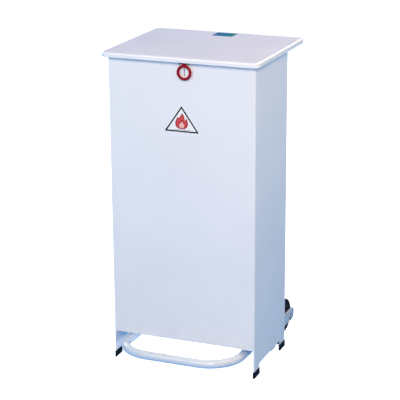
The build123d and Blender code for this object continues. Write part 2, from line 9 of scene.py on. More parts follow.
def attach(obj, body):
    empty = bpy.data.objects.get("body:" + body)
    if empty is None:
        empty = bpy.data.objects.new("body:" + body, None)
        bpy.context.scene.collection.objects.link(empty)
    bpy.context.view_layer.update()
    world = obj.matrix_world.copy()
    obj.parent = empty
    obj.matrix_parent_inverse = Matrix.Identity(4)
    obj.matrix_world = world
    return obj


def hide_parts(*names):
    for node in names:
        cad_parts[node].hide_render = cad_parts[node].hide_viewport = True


# Looks for the pedal-operated sack bin, in metres, in the CAD model's own frame:
# +Z is up and the front panel faces -Y.

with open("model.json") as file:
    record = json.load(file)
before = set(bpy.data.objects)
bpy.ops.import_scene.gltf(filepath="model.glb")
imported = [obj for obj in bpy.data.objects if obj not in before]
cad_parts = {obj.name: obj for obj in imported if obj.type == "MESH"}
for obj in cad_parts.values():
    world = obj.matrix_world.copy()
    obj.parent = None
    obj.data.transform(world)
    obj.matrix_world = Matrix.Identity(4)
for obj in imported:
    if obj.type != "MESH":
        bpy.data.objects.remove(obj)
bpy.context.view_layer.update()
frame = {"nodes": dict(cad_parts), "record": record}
nodes = frame["nodes"]

# ---- sizes, as in the CAD model -----------------------------------------------------------
BODY_HALF_X = 0.190
BODY_FRONT_Y = -0.118
BODY_BACK_Y = 0.114
SHEET = 0.0012
BEND_R = 0.0035
RIM_Z = 0.786
FRONT_HEM_Z = 0.074
SIDE_HEM_Z = 0.028
SIDE_HEM_R = 0.008
LEG_FOOT_Z = 0.0025
LEG_FACE = 0.0020
FRONT_LEG = 0.036
REAR_LEG = 0.040
REAR_FLANGE = 0.022
FRONT_HEM_R = 0.0015      # inner corners of the gap under the front panel
SLOT_X, SLOT_Z = 0.010, 0.7625
SLOT_R, SLOT_HALF = 0.0010, 0.0090

LID_HALF_X = 0.203
LID_FRONT_Y, LID_BACK_Y = -0.137, 0.207
LID_TOP_Z = 0.800
LID_LIP = 0.012
LID_CORNER_R = 0.018
LID_EDGE_R = 0.005
LID_HEM = 0.007           # height of the folded hem inside the lip
LID_CORNER_STEPS = 14

TUBE_R = 0.011
PEDAL_ARM_X = 0.1535
PEDAL_BAR_Y = -0.1975
PEDAL_BEND_R = 0.086
PEDAL_END_Y = 0.097
PEDAL_TILT = math.radians(2.2)
PIVOT = Vector((0, 0.028, 0.047))

CAP_HEIGHT = 0.017
CAP_WALL = 0.0015

WHEEL_Y, WHEEL_Z = 0.1635, 0.062
WHEEL_X = 0.166
WHEEL_R = 0.045
BOSS_END = 0.0195         # outer end of the hub's boss, from the wheel's middle
WHEEL_HALF = 0.009
HUB_R = 0.029
AXLE_R = 0.005

RING = Vector((0.012, -0.124, 0.7625))
RING_MID_R = 0.0157
RING_BAND_R = 0.0033
RING_PIVOT_Z = 0.786

LABEL_X, LABEL_BASE_Z = 0.002, 0.6145
LABEL_HALF, LABEL_HEIGHT = 0.046, 0.066
LABEL_THICK = 0.0003
LID_LABEL_Y = 0.172
LID_LABEL_HALF = (0.027, 0.021)


# ---- mesh helpers ------------------------------------------------------------------------
def finish_mesh(piece, angle=35):
    """Smooth shading, with edges sharper than an angle kept crisp."""
    mesh = piece.data
    for polygon in mesh.polygons:
        polygon.use_smooth = True
    mesh.set_sharp_from_angle(angle=math.radians(angle))
    return piece


def from_bmesh(name, bm):
    bmesh.ops.recalc_face_normals(bm, faces=bm.faces)
    mesh = bpy.data.meshes.new(name)
    bm.to_mesh(mesh)
    bm.free()
    piece = bpy.data.objects.new(name, mesh)
    bpy.context.scene.collection.objects.link(piece)
    return piece


def apply_modifiers(piece):
    """Puts a piece's modifiers into its mesh."""
    depsgraph = bpy.context.evaluated_depsgraph_get()
    depsgraph.update()
    mesh = bpy.data.meshes.new_from_object(piece.evaluated_get(depsgraph))
    piece.modifiers.clear()
    piece.data = mesh
    return piece


def bevel(piece, width, segments=2, angle=40):
    modifier = piece.modifiers.new("bevel", "BEVEL")
    modifier.width = width
    modifier.segments = segments
    modifier.limit_method = "ANGLE"
    modifier.angle_limit = math.radians(angle)
    modifier.harden_normals = False
    return piece


def even_normals(piece):
    """Lets the large faces set the shading, so that narrow bevels don't bend it."""
    modifier = piece.modifiers.new("even", "WEIGHTED_NORMAL")
    modifier.mode = "FACE_AREA"
    modifier.weight = 100
    modifier.keep_sharp = True
    return apply_modifiers(piece)


def skin(bm, rings, closed_around=True, closed_along=False):
    """Joins rows of points, each with as many points as the next, by four-sided faces."""
    rows = [[bm.verts.new(p) for p in ring] for ring in rings]
    count = len(rows[0])
    pairs = list(zip(rows, rows[1:]))
    if closed_along:
        pairs.append((rows[-1], rows[0]))
    for near, far in pairs:
        for i in range(count if closed_around else count - 1):
            k = (i + 1) % count
            bm.faces.new((near[i], near[k], far[k], far[i]))
    return rows


def closed_skin(bm, rings):
    """Joins rows of points round and closes both ends."""
    rows = skin(bm, rings)
    bm.faces.new(rows[0])
    bm.faces.new(rows[-1])


def lathe_x(name, x_mid, profile, y, z, steps=64):
    """A solid of revolution about an X axis, from a closed profile of (x, radius) points."""
    bm = bmesh.new()
    rings = []
    for i in range(steps):
        a = 2 * math.pi * i / steps
        rings.append([(x_mid + x, y + r * math.cos(a), z + r * math.sin(a)) for x, r in profile])
    skin(bm, rings, closed_around=True, closed_along=True)
    return from_bmesh(name, bm)


def filleted_path(corners, radius, arc_steps):
    """A route of straight runs with an arc at each inner corner."""
    points = [Vector(corners[0])]
    for before, corner, after in zip(corners, corners[1:], corners[2:]):
        corner = Vector(corner)
        a = (Vector(before) - corner).normalized()
        b = (Vector(after) - corner).normalized()
        half = a.angle(b) / 2
        reach = radius / math.tan(half)
        centre = corner + (a + b).normalized() * (radius / math.sin(half))
        start, end = corner + a * reach - centre, corner + b * reach - centre
        sweep = start.angle(end)
        for i in range(arc_steps + 1):
            t = i / arc_steps
            points.append(
                centre
                + (start * math.sin((1 - t) * sweep) + end * math.sin(t * sweep)) / math.sin(sweep)
            )
    points.append(Vector(corners[-1]))
    return points


def divided(points, longest):
    """The same route with no run longer than a given length."""
    out = [points[0]]
    for a, b in zip(points, points[1:]):
        count = max(1, math.ceil((b - a).length / longest))
        out += [a.lerp(b, i / count) for i in range(1, count + 1)]
    return out


def tube_mesh(bm, points, radius, around=32):
    """A round bar along a route, closed at both ends."""
    tangents = []
    for i in range(len(points)):
        a, b = points[max(i - 1, 0)], points[min(i + 1, len(points) - 1)]
        tangents.append((b - a).normalized())
    normal = tangents[0].orthogonal().normalized()
    rings = []
    for point, tangent in zip(points, tangents):
        normal = (normal - tangent * normal.dot(tangent)).normalized()
        other = tangent.cross(normal)
        ring = []
        for i in range(around):
            a = 2 * math.pi * i / around
            ring.append(point + (normal * math.cos(a) + other * math.sin(a)) * radius)
        rings.append(ring)
    closed_skin(bm, rings)


def arc_points(cx, cy, radius, start, turn, steps=6):
    """Points along an arc in a plane, with its start and turn in degrees."""
    out = []
    for i in range(steps + 1):
        a = math.radians(start + turn * i / steps)
        out.append((cx + radius * math.cos(a), cy + radius * math.sin(a)))
    return out


def rounded_rectangle(half_x, y0, y1, radius, steps=10):
    """Corner points of a rounded rectangle, anticlockwise from the front right."""
    points = []
    corners = ((half_x, y0, -90), (half_x, y1, 0), (-half_x, y1, 90), (-half_x, y0, 180))
    for x, y, turn in corners:
        cx = x - math.copysign(radius, x)
        cy = y + radius if y == y0 else y - radius
        points += arc_points(cx, cy, radius, turn, 90, steps)
    return points


def side_name(side):
    return "right" if side > 0 else "left"


def place(piece, body, material, replaced=()):
    """Gives a piece its material and its body, and hides the CAD nodes that it stands in for."""
    piece.data.materials.clear()
    piece.data.materials.append(material)
    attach(piece, body)
    if replaced:
        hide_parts(*replaced)
    return piece


# ---- materials ---------------------------------------------------------------------------
class Paint:
    """A node material under construction, with short ways to add the usual nodes."""

    def __init__(self, name):
        self.material = bpy.data.materials.new(name)
        self.material.use_nodes = True
        self.tree = self.material.node_tree
        self.shader = self.tree.nodes["Principled BSDF"]
        coords = self.tree.nodes.new("ShaderNodeTexCoord")
        self.place = coords.outputs["Object"]

    def node(self, kind, **inputs):
        made = self.tree.nodes.new(kind)
        for key, value in inputs.items():
            name = key.replace("_", " ")
            target = made.inputs[name]
            if isinstance(value, bpy.types.NodeSocket):
                self.tree.links.new(value, target)
            else:
                target.default_value = value
        return made

    def noise(self, scale, detail=4.0, rough=0.55, stretch=None, distortion=0.0):
        where = self.place
        if stretch:
            mapping = self.tree.nodes.new("ShaderNodeMapping")
            mapping.inputs["Scale"].default_value = stretch
            self.tree.links.new(where, mapping.inputs["Vector"])
            where = mapping.outputs["Vector"]
        made = self.node("ShaderNodeTexNoise", Vector=where, Scale=scale, Detail=detail, Roughness=rough)
        made.inputs["Distortion"].default_value = distortion
        return made.outputs["Fac"]

    def ramp(self, value, low, high, out_low=0.0, out_high=1.0):
        made = self.tree.nodes.new("ShaderNodeMapRange")
        self.tree.links.new(value, made.inputs["Value"])
        made.inputs["From Min"].default_value = low
        made.inputs["From Max"].default_value = high
        made.inputs["To Min"].default_value = out_low
        made.inputs["To Max"].default_value = out_high
        return made.outputs["Result"]

    def math(self, operation, a, b):
        made = self.tree.nodes.new("ShaderNodeMath")
        made.operation = operation
        made.use_clamp = False
        for socket, value in zip(made.inputs, (a, b)):
            if isinstance(value, bpy.types.NodeSocket):
                self.tree.links.new(value, socket)
            else:
                socket.default_value = value
        return made.outputs["Value"]

    def mix(self, factor, a, b):
        made = self.tree.nodes.new("ShaderNodeMix")
        made.data_type = "RGBA"
        for socket, value in ((made.inputs[0], factor), (made.inputs[6], a), (made.inputs[7], b)):
            if isinstance(value, bpy.types.NodeSocket):
                self.tree.links.new(value, socket)
            elif isinstance(value, (int, float)):
                socket.default_value = value
            else:
                socket.default_value = (*value, 1.0)
        return made.outputs[2]

    def axis(self, name):
        split = self.tree.nodes.new("ShaderNodeSeparateXYZ")
        self.tree.links.new(self.place, split.inputs["Vector"])
        return split.outputs[name]

    def into(self, name, value):
        target = self.shader.inputs[name]
        if isinstance(value, bpy.types.NodeSocket):
            self.tree.links.new(value, target)
        elif isinstance(value, tuple):
            target.default_value = (*value, 1.0)
        else:
            target.default_value = value

    def bump(self, *layers):
        """Layers of (height output, strength, depth in metres), one over the other."""
        normal = None
        for height, strength, depth in layers:
            made = self.tree.nodes.new("ShaderNodeBump")
            made.inputs["Strength"].default_value = strength
            made.inputs["Distance"].default_value = depth
            self.tree.links.new(height, made.inputs["Height"])
            if normal is not None:
                self.tree.links.new(normal, made.inputs["Normal"])
            normal = made.outputs["Normal"]
        self.tree.links.new(normal, self.shader.inputs["Normal"])


def powder_coat(name, colour, roughness=0.33, grime=0.0, rub=0.0):
    """Smooth stoved paint: a faint orange-peel skin, slow gloss changes, a few hairline scuffs."""
    paint = Paint(name)
    slow = paint.noise(5.0, detail=3.0)
    dark = tuple(c * 0.972 for c in colour)
    light = tuple(min(1.0, c * 1.012) for c in colour)
    base = paint.mix(paint.ramp(slow, 0.35, 0.65), dark, light)
    if grime:
        height = paint.axis("Z")
        low = paint.ramp(height, 0.16, 0.0, 0.0, grime)
        blotches = paint.ramp(paint.noise(38.0, detail=6.0, rough=0.7), 0.45, 0.75)
        base = paint.mix(paint.math("MULTIPLY", low, blotches), base, (0.42, 0.40, 0.37))
    scratch = paint.noise(60.0, detail=2.0, stretch=(1.0, 1.0, 14.0), distortion=0.4)
    scuffs = paint.ramp(scratch, 0.735, 0.78)
    base = paint.mix(paint.math("MULTIPLY", scuffs, 0.10), base, (0.36, 0.36, 0.38))
    if rub:
        worn = paint.ramp(paint.noise(85.0, detail=8.0, rough=0.72), 0.60, 0.72)
        front = paint.ramp(paint.axis("Y"), -0.150, -0.196)
        top = paint.ramp(paint.axis("Z"), 0.055, 0.066)
        upper_front = paint.math("MULTIPLY", front, top)
        wear = paint.math("MULTIPLY", paint.math("MULTIPLY", worn, upper_front), rub)
        base = paint.mix(wear, base, (0.40, 0.40, 0.41))
    paint.into("Base Color", base)
    gloss = paint.ramp(paint.noise(14.0, detail=3.0), 0.3, 0.7, roughness - 0.05, roughness + 0.06)
    paint.into("Roughness", gloss)
    paint.into("Coat Weight", 0.25)
    paint.into("Coat Roughness", 0.16)
    peel = paint.noise(620.0, detail=2.0, rough=0.4)
    waves = paint.noise(11.0, detail=1.0, rough=0.3)
    paint.bump((peel, 0.10, 0.00010), (waves, 0.12, 0.0012))
    return paint.material


def bright_metal(name, colour, roughness, stretch, grain=0.25):
    """Plated or drawn steel with fine lines along its length and a slightly clouded plating."""
    paint = Paint(name)
    lines = paint.noise(240.0, detail=3.0, stretch=stretch)
    clouds = paint.noise(30.0, detail=5.0, rough=0.65)
    tone = paint.mix(paint.ramp(clouds, 0.3, 0.7), tuple(c * 0.82 for c in colour), colour)
    paint.into("Base Color", tone)
    paint.into("Metallic", 1.0)
    paint.into("Roughness", paint.ramp(lines, 0.3, 0.7, roughness - 0.08, roughness + 0.10))
    paint.bump((lines, grain, 0.00006))
    return paint.material


def moulded(name, colour, roughness, grain=0.35, dust=0.0, specular=0.5):
    """Moulded plastic or rubber with a fine spark-eroded grain."""
    paint = Paint(name)
    fine = paint.noise(1500.0, detail=2.0)
    blotch = paint.noise(42.0, detail=5.0, rough=0.65)
    dark = tuple(c * 0.8 for c in colour)
    light = tuple(c * 1.2 for c in colour)
    tone = paint.mix(paint.ramp(blotch, 0.3, 0.7), dark, light)
    if dust:
        tone = paint.mix(paint.ramp(blotch, 0.52, 0.8, 0.0, dust), tone, (0.24, 0.23, 0.21))
    paint.into("Base Color", tone)
    paint.into("Specular IOR Level", specular)
    paint.into("Roughness", paint.ramp(blotch, 0.3, 0.7, roughness - 0.06, roughness + 0.06))
    paint.bump((fine, grain, 0.00008))
    return paint.material


def printed(name, colour, roughness=0.34, specular=0.4):
    """Sticker vinyl, with a faint mottle in the ink and a skin that isn't quite flat."""
    paint = Paint(name)
    paint.into("Specular IOR Level", specular)
    mottle = paint.noise(300.0, detail=3.0)
    tone = paint.mix(paint.ramp(mottle, 0.3, 0.7), tuple(c * 0.94 for c in colour), colour)
    paint.into("Base Color", tone)
    paint.into("Roughness", paint.ramp(mottle, 0.3, 0.7, roughness - 0.04, roughness + 0.06))
    paint.bump((paint.noise(90.0, detail=2.0), 0.12, 0.0002))
    return paint.material


def lid_sticker():
    """The colour-code sticker: blue at one end, running into green."""
    paint = Paint("lid_sticker")
    across = paint.ramp(paint.axis("X"), -0.024, 0.026)
    paint.into("Specular IOR Level", 0.15)
    tone = paint.mix(across, (0.010, 0.150, 0.370), (0.003, 0.200, 0.165))
    mottle = paint.noise(260.0, detail=3.0)
    tone = paint.mix(paint.ramp(mottle, 0.3, 0.7, 0.0, 0.08), tone, (0.06, 0.27, 0.34))
    paint.into("Base Color", tone)
    paint.into("Roughness", paint.ramp(mottle, 0.3, 0.7, 0.28, 0.38))
    paint.bump((paint.noise(90.0, detail=2.0), 0.12, 0.0002))
    return paint.material


WHITE = (0.80, 0.81, 0.86)
body_white = powder_coat("body_white", WHITE, grime=0.30)
# The lid's white is a slightly darker copy of the body's white paint: painted shade, standing in for the
# dimmer light on the lid's top.
lid_white = powder_coat("lid_white", (0.79, 0.80, 0.85))
# The pedal's white is a darker, bluer copy of the body's white paint: painted shade, matching the bluish
# shade on the tube's underside.
pedal_white = powder_coat("pedal_white", (0.63, 0.70, 0.82), roughness=0.28, grime=0.12, rub=0.75)
bracket_grey = powder_coat("bracket_grey", (0.50, 0.54, 0.60), roughness=0.42, grime=0.35)
dark_steel = powder_coat("dark_steel", (0.030, 0.032, 0.038), roughness=0.45)
bar_steel = bright_metal("bar_steel", (0.66, 0.67, 0.69), 0.30, (0.04, 1.0, 1.0))
rod_steel = bright_metal("rod_steel", (0.66, 0.67, 0.69), 0.30, (1.0, 1.0, 0.04))
rivet_metal = bright_metal("rivet_metal", (0.74, 0.75, 0.77), 0.36, (1.0, 1.0, 1.0), grain=0.12)
spring_steel = bright_metal("spring_steel", (0.52, 0.54, 0.58), 0.42, (1.0, 1.0, 1.0), grain=0.12)
black_plastic = moulded("black_plastic", (0.0022, 0.0026, 0.0036), 0.50, dust=0.012, specular=0.06)
tyre_rubber = moulded("tyre_rubber", (0.0034, 0.0038, 0.0050), 0.62, grain=0.5, dust=0.03, specular=0.08)
buffer_rubber = moulded("buffer_rubber", (0.022, 0.022, 0.022), 0.70, grain=0.5)
hub_grey = moulded("hub_grey", (0.030, 0.033, 0.040), 0.48, specular=0.25)
nylon = moulded("nylon", (0.74, 0.73, 0.68), 0.40, grain=0.2)
ring_red = moulded("ring_red", (0.290, 0.0004, 0.0110), 0.45, grain=0.12, specular=0.12)
sticker_white = printed("sticker_white", (0.88, 0.88, 0.90))
ink_black = printed("ink_black", (0.004, 0.004, 0.006), specular=0.10)
ink_grey = printed("ink_grey", (0.42, 0.40, 0.48))
ink_dark_red = printed("ink_dark_red", (0.38, 0.022, 0.034), specular=0.15)
ink_red = printed("ink_red", (0.66, 0.080, 0.085), specular=0.2)
ink_pink = printed("ink_pink", (0.86, 0.47, 0.42))
teal = lid_sticker()

SLOT_MATERIALS = {
    "body_white": body_white,
    "lid_white": lid_white,
    "pedal_white": pedal_white,
    "bracket_grey": bracket_grey,
    "dark_steel": dark_steel,
    "bright_steel": bar_steel,
    "rivet_steel": rivet_metal,
    "spring_steel": spring_steel,
    "black_plastic": black_plastic,
    "buffer_rubber": buffer_rubber,
    "tyre_rubber": tyre_rubber,
    "hub_grey": hub_grey,
    "nylon": nylon,
    "ring_red": ring_red,
    "front_label": sticker_white,
    "lid_label": teal,
}
slot_of = {row["node"]: row["material_slot"] for row in frame["record"]["subparts"]}
for node_name, node in nodes.items():
    node.data.materials.clear()
    node.data.materials.append(SLOT_MATERIALS[slot_of[node_name]])
nodes["lift_rod"].data.materials[0] = rod_steel


# ---- body shell --------------------------------------------------------------------------
FLAT_FRONT = BODY_HALF_X - BEND_R
BEND_LENGTH = BEND_R * math.pi / 2
FLAT_SIDE = BODY_BACK_Y - BODY_FRONT_Y - 2 * BEND_R
SIDE_START = FLAT_FRONT + BEND_LENGTH
REAR_BEND = SIDE_START + FLAT_SIDE
REAR_START = REAR_BEND + BEND_LENGTH
WRAP_END = REAR_START + REAR_FLANGE - BEND_R


def folded(s, outward=0.0):
    """The plan position of a point s along the sheet from the middle of the front, right side."""
    if s <= FLAT_FRONT:
        return s, BODY_FRONT_Y - outward
    if s <= SIDE_START:
        a = (s - FLAT_FRONT) / BEND_R
        r = BEND_R + outward
        return FLAT_FRONT + r * math.sin(a), BODY_FRONT_Y + BEND_R - r * math.cos(a)
    if s <= REAR_BEND:
        return BODY_HALF_X + outward, BODY_FRONT_Y + BEND_R + s - SIDE_START
    if s <= REAR_START:
        a = (s - REAR_BEND) / BEND_R
        r = BEND_R + outward
        return FLAT_FRONT + r * math.cos(a), BODY_BACK_Y - BEND_R + r * math.sin(a)
    return FLAT_FRONT - (s - REAR_START), BODY_BACK_Y + outward


def shell_outline():
    """The flat blank of the body, as (s, z), anticlockwise, with s below 0 on the left."""
    leg = BODY_HALF_X - LEG_FACE
    side0 = SIDE_START + FRONT_LEG - BEND_R
    side1 = REAR_BEND - (REAR_LEG - BEND_R)
    right = arc_points(leg - FRONT_HEM_R, FRONT_HEM_Z - FRONT_HEM_R, FRONT_HEM_R, 90, -90)
    right += [(leg, LEG_FOOT_Z), (side0, LEG_FOOT_Z)]
    right += arc_points(side0 + SIDE_HEM_R, SIDE_HEM_Z - SIDE_HEM_R, SIDE_HEM_R, 180, -90, 8)
    right += arc_points(side1 - SIDE_HEM_R, SIDE_HEM_Z - SIDE_HEM_R, SIDE_HEM_R, 90, -90, 8)
    right += [(side1, LEG_FOOT_Z), (WRAP_END, LEG_FOOT_Z), (WRAP_END, RIM_Z)]
    left = [(-s, z) for s, z in reversed(right)]
    return left + right


def body_shell():
    """The flat blank with its slot, folded at the four bends and given the sheet's thickness."""
    bm = bmesh.new()
    edges = []
    slot = []
    for i in range(24):
        a = 2 * math.pi * i / 24
        lift = SLOT_HALF if math.sin(a) > 0 else -SLOT_HALF
        slot.append((SLOT_X + SLOT_R * math.cos(a), SLOT_Z + lift + SLOT_R * math.sin(a)))
    for loop in (shell_outline(), slot):
        verts = [bm.verts.new((s, 0, z)) for s, z in loop]
        edges += [bm.edges.new((a, b)) for a, b in zip(verts, verts[1:] + verts[:1])]
    bmesh.ops.triangle_fill(bm, use_beauty=True, use_dissolve=False, edges=edges)
    columns = [FLAT_FRONT + BEND_LENGTH * i / 10 for i in range(11)]
    columns += [REAR_BEND + BEND_LENGTH * i / 10 for i in range(11)]
    for s in [sign * c for c in columns for sign in (-1, 1)]:
        geometry = bm.verts[:] + bm.edges[:] + bm.faces[:]
        bmesh.ops.bisect_plane(bm, geom=geometry, dist=1e-7, plane_co=(s, 0, 0), plane_no=(1, 0, 0))
    for vert in bm.verts:
        x, y = folded(abs(vert.co.x))
        vert.co = Vector((math.copysign(x, vert.co.x), y, vert.co.z))
    bmesh.ops.dissolve_limit(
        bm, angle_limit=math.radians(0.5), verts=bm.verts, edges=bm.edges, delimit={"NORMAL"}
    )
    bmesh.ops.recalc_face_normals(bm, faces=bm.faces)
    front = min(bm.faces, key=lambda f: f.calc_center_median().y)
    if front.normal.y > 0:
        bmesh.ops.reverse_faces(bm, faces=bm.faces)
    mesh = bpy.data.meshes.new("shell")
    bm.to_mesh(mesh)
    bm.free()
    shell = bpy.data.objects.new("shell", mesh)
    bpy.context.scene.collection.objects.link(shell)
    solid = shell.modifiers.new("sheet", "SOLIDIFY")
    solid.thickness = SHEET
    solid.offset = -1.0
    solid.use_even_offset = True
    bevel(shell, 0.00035, 2, 55)
    apply_modifiers(shell)
    finish_mesh(shell, 60)
    even_normals(shell)
    return place(shell, "bin_body", body_white, ["body_shell"])


# ---- lid ---------------------------------------------------------------------------------
def lid_profile():
    """(inset from the lid's outer edge, height) from the inner hem, round the lip, to the top."""
    lip_z = LID_TOP_Z - LID_LIP
    inner = SHEET * 2.1
    half = inner / 2
    fold = 0.0009
    rows = [(inner, lip_z + LID_HEM), (inner, lip_z + fold)]
    for i in range(1, 9):
        a = math.pi * i / 8
        rows.append((half + half * math.cos(a), lip_z + fold - fold * math.sin(a)))
    rows.append((0.0, LID_TOP_Z - LID_EDGE_R))
    for i in range(1, 11):
        a = math.radians(90 * i / 10)
        inset = LID_EDGE_R - LID_EDGE_R * math.cos(a)
        rows.append((inset, LID_TOP_Z - LID_EDGE_R + LID_EDGE_R * math.sin(a)))
    return rows


def lid_ring(inset, z):
    """The lid's outline, drawn in from its edge, at one height."""
    outline = rounded_rectangle(
        LID_HALF_X - inset,
        LID_FRONT_Y + inset,
        LID_BACK_Y - inset,
        LID_CORNER_R - inset,
        LID_CORNER_STEPS,
    )
    return [(x, y, z) for x, y in outline]


def lid_pan():
    """The pressed lid: a flat top with rounded edges, a lip all round and a hem turned in."""
    bm = bmesh.new()
    rings = [lid_ring(inset, z) for inset, z in lid_profile()]
    under = []
    inner_r = LID_EDGE_R - SHEET
    for i in range(11):
        a = math.radians(90 - 90 * i / 10)
        inset = SHEET + inner_r - inner_r * math.cos(a)
        under.append(lid_ring(inset, LID_TOP_Z - LID_EDGE_R + inner_r * math.sin(a)))
    under.append(lid_ring(SHEET, LID_TOP_Z - LID_LIP + LID_HEM))
    rows = skin(bm, rings[::-1])
    top = bm.faces.new(rows[0])
    lower = skin(bm, under)
    bottom = bm.faces.new(lower[0])
    hem, ledge = rows[-1], lower[-1]
    for i in range(len(hem)):
        k = (i + 1) % len(hem)
        bm.faces.new((hem[i], hem[k], ledge[k], ledge[i]))
    for face in (top, bottom):
        bmesh.ops.inset_individual(bm, faces=[face], thickness=0.010)
    piece = from_bmesh("lid_skin", bm)
    finish_mesh(piece, 50)
    even_normals(piece)
    return place(piece, "lid", lid_white, ["lid_pan"])


# ---- pedal -------------------------------------------------------------------------------
def tilted(point):
    """Where a point of the level pedal comes to lie with the pedal at rest."""
    return PIVOT + Matrix.Rotation(-PEDAL_TILT, 3, "X") @ (Vector(point) - PIVOT)


def pedal_loop():
    """The U-shaped tube, with one wide bend at each front corner."""
    corners = [
        (PEDAL_ARM_X, PEDAL_END_Y, PIVOT.z),
        (PEDAL_ARM_X, PEDAL_BAR_Y, PIVOT.z),
        (-PEDAL_ARM_X, PEDAL_BAR_Y, PIVOT.z),
        (-PEDAL_ARM_X, PEDAL_END_Y, PIVOT.z),
    ]
    route = divided(filleted_path(corners, PEDAL_BEND_R, 40), 0.02)
    bm = bmesh.new()
    tube_mesh(bm, [tilted(p) for p in route], TUBE_R, 40)
    piece = from_bmesh("pedal_loop", bm)
    finish_mesh(piece, 50)
    return place(piece, "pedal", pedal_white, ["pedal_tube"])


# ---- feet --------------------------------------------------------------------------------
def foot_cap(side, front):
    """A boot round the leg's lower end, with a welt at the top and a rounded sole."""
    if front:
        s0 = BODY_HALF_X - LEG_FACE - CAP_WALL
        s1 = SIDE_START + FRONT_LEG - BEND_R + CAP_WALL
    else:
        s0 = REAR_BEND - (REAR_LEG - BEND_R) - CAP_WALL
        s1 = WRAP_END + CAP_WALL
    count = 40
    stations = [s0 + (s1 - s0) * i / count for i in range(count + 1)]
    levels = (
        (0.0, -0.0009),
        (0.0009, 0.0),
        (CAP_HEIGHT - 0.0034, -0.0003),
        (CAP_HEIGHT - 0.0030, 0.0),
        (CAP_HEIGHT - 0.0006, 0.0),
        (CAP_HEIGHT, -0.0006),
    )
    bm = bmesh.new()
    rings = []
    for z, grow in levels:
        outer = [folded(s, CAP_WALL + grow) for s in stations]
        inner = [folded(s, -SHEET - CAP_WALL - grow) for s in reversed(stations)]
        outer[0] = folded(s0 - grow, CAP_WALL + grow)
        outer[-1] = folded(s1 + grow, CAP_WALL + grow)
        inner[-1] = folded(s0 - grow, -SHEET - CAP_WALL - grow)
        inner[0] = folded(s1 + grow, -SHEET - CAP_WALL - grow)
        rings.append([(side * x, y, z) for x, y in outer + inner])
    closed_skin(bm, rings)
    end = "front" if front else "rear"
    name = side_name(side)
    piece = from_bmesh(f"boot_{end}_{name}", bm)
    bevel(piece, 0.0005, 2, 50)
    apply_modifiers(piece)
    finish_mesh(piece, 50)
    even_normals(piece)
    return place(piece, "bin_body", black_plastic, [f"foot_cap_{end}_{name}"])


# ---- wheels ------------------------------------------------------------------------------
def tyre(side):
    """A solid tyre with rounded shoulders and two fine grooves round the tread."""
    half, r = WHEEL_HALF, WHEEL_R
    shoulder = 0.006
    profile = [(-half + 0.0012, HUB_R), (half - 0.0012, HUB_R), (half - 0.0012, HUB_R + 0.0014)]
    profile += [(half - 0.0006, HUB_R + 0.0022), (half, HUB_R + 0.0035), (half, r - 0.0062)]
    profile += arc_points(half - shoulder, r - shoulder, shoulder, 0, 70, 7)
    for x in (0.0028, -0.0028):
        profile += [(x + 0.0007, r - 0.0002), (x + 0.0005, r - 0.0011)]
        profile += [(x - 0.0005, r - 0.0011), (x - 0.0007, r - 0.0002)]
    profile += arc_points(-half + shoulder, r - shoulder, shoulder, 110, 70, 7)
    profile += [(-half, r - 0.0062), (-half, HUB_R + 0.0035), (-half + 0.0006, HUB_R + 0.0022)]
    profile += [(-half + 0.0012, HUB_R + 0.0014)]
    name = side_name(side)
    piece = lathe_x(f"tyre_{name}", side * WHEEL_X, profile, WHEEL_Y, WHEEL_Z, 96)
    finish_mesh(piece, 40)
    return place(piece, f"wheel_{name}", tyre_rubber, [f"wheel_tyre_{name}"])


def hub(side):
    """A rim, a thin web, eight ribs each side, and a boss that reaches out to the bracket."""
    rim = WHEEL_HALF - 0.001
    profile = [(-rim, HUB_R - 0.0002), (rim, HUB_R - 0.0002)]
    profile += [(rim, HUB_R - 0.0030), (rim - 0.0008, HUB_R - 0.0036)]
    profile += [(0.0024, HUB_R - 0.0046), (0.0018, HUB_R - 0.0062), (0.0018, 0.0118), (0.0026, 0.0106)]
    inboard = [(WHEEL_HALF - 0.0008, 0.0098), (WHEEL_HALF, 0.0090), (WHEEL_HALF, AXLE_R + 0.0001)]
    outboard = [(BOSS_END - 0.0008, 0.0098), (BOSS_END, 0.0090), (BOSS_END, AXLE_R + 0.0001)]
    profile = profile + outboard + [(-x, r) for x, r in reversed(profile[2:] + inboard)]
    profile = [(side * x, r) for x, r in profile]
    name = side_name(side)
    x_mid = side * WHEEL_X
    body = lathe_x(f"hub_{name}", x_mid, profile, WHEEL_Y, WHEEL_Z, 96)
    bm = bmesh.new()
    bm.from_mesh(body.data)
    for i in range(8):
        a = 2 * math.pi * (i + 0.5) / 8
        along = Vector((0, math.cos(a), math.sin(a)))
        across = Vector((0, -math.sin(a), math.cos(a)))
        centre = Vector((x_mid, WHEEL_Y, WHEEL_Z))
        for face in (-1, 1):
            rings = []
            for reach, depth in ((0.0088, 0.0080), (0.0270, 0.0066)):
                near, far = centre + along * reach, Vector((face * depth, 0, 0))
                root = Vector((face * 0.0010, 0, 0))
                w = across * 0.0011
                t = across * 0.0008
                rings.append([near + root - w, near + root + w, near + far + t, near + far - t])
            closed_skin(bm, rings)
    bmesh.ops.recalc_face_normals(bm, faces=bm.faces)
    bm.to_mesh(body.data)
    bm.free()
    finish_mesh(body, 35)
    return place(body, f"wheel_{name}", hub_grey, [f"wheel_hub_{name}"])


